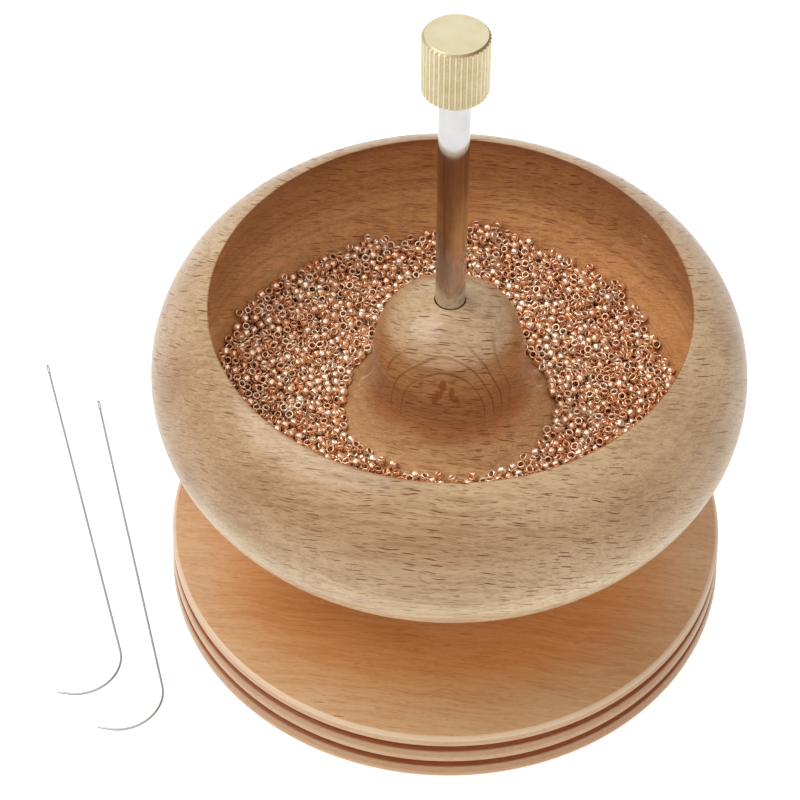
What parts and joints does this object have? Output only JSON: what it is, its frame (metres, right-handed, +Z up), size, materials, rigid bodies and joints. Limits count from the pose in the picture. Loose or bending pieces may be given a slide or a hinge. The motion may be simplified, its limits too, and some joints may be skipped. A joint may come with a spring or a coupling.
{
  "type": "bead spinner",
  "caption": "Turned wooden bead spinner: a round bowl with a central hub of seed beads spins on a rod in a grooved base, with a knurled finger knob and curved beading needles.",
  "frame": {"origin": "centre of the underside of the base, on the spin axis, at table height", "axes": "+Z up along the spin axis; the two needles lie on the -X side; +Y points away from the camera of the reference view"},
  "size_m": [0.1778, 0.1368, 0.1624],
  "materials": {
    "base_wood": "satin turned beech",
    "felt": "felt",
    "rod_steel": "ground",
    "plated_steel": "zinc plated",
    "nylon": "natural nylon",
    "bowl_wood": "satin turned beech",
    "bush_brass": "turned",
    "tube_steel": "polished",
    "knob_brass": "satin, straight knurled",
    "ball_steel": "polished",
    "beads": "rose-gold plated glass beads, opaque",
    "needle_steel": "drawn wire"
  },
  "bodies": {
    "base": {"base": "base_wood", "base_pad": "felt", "spindle": "rod_steel", "spindle_washer": "plated_steel", "spindle_nut": "plated_steel", "thrust_washer": "nylon"},
    "pivot": {"pivot_ball": "ball_steel"},
    "bowl": {"bowl": "bowl_wood", "lower_bush": "bush_brass", "handle_tube": "tube_steel", "knob": "knob_brass", "seed_beads": "beads"},
    "needle_a": {"needle_a": "needle_steel"},
    "needle_b": {"needle_b": "needle_steel"}
  },
  "joints": [
    {"name": "bowl_lift", "type": "slide", "parent": "base", "child": "pivot", "axis": [0, 0, 1], "range_m": [0, 0.12]},
    {"name": "bowl_spin", "type": "hinge", "parent": "pivot", "child": "bowl", "pos_m": [0, 0, 0.1], "axis": [0, 0, 1], "continuous": true},
    {"name": "needle_a_lift", "type": "slide", "parent": "base", "child": "needle_a", "axis": [0, 0, 1], "range_m": [0, 0.1]},
    {"name": "needle_b_lift", "type": "slide", "parent": "base", "child": "needle_b", "axis": [0, 0, 1], "range_m": [0, 0.1]}
  ]
}
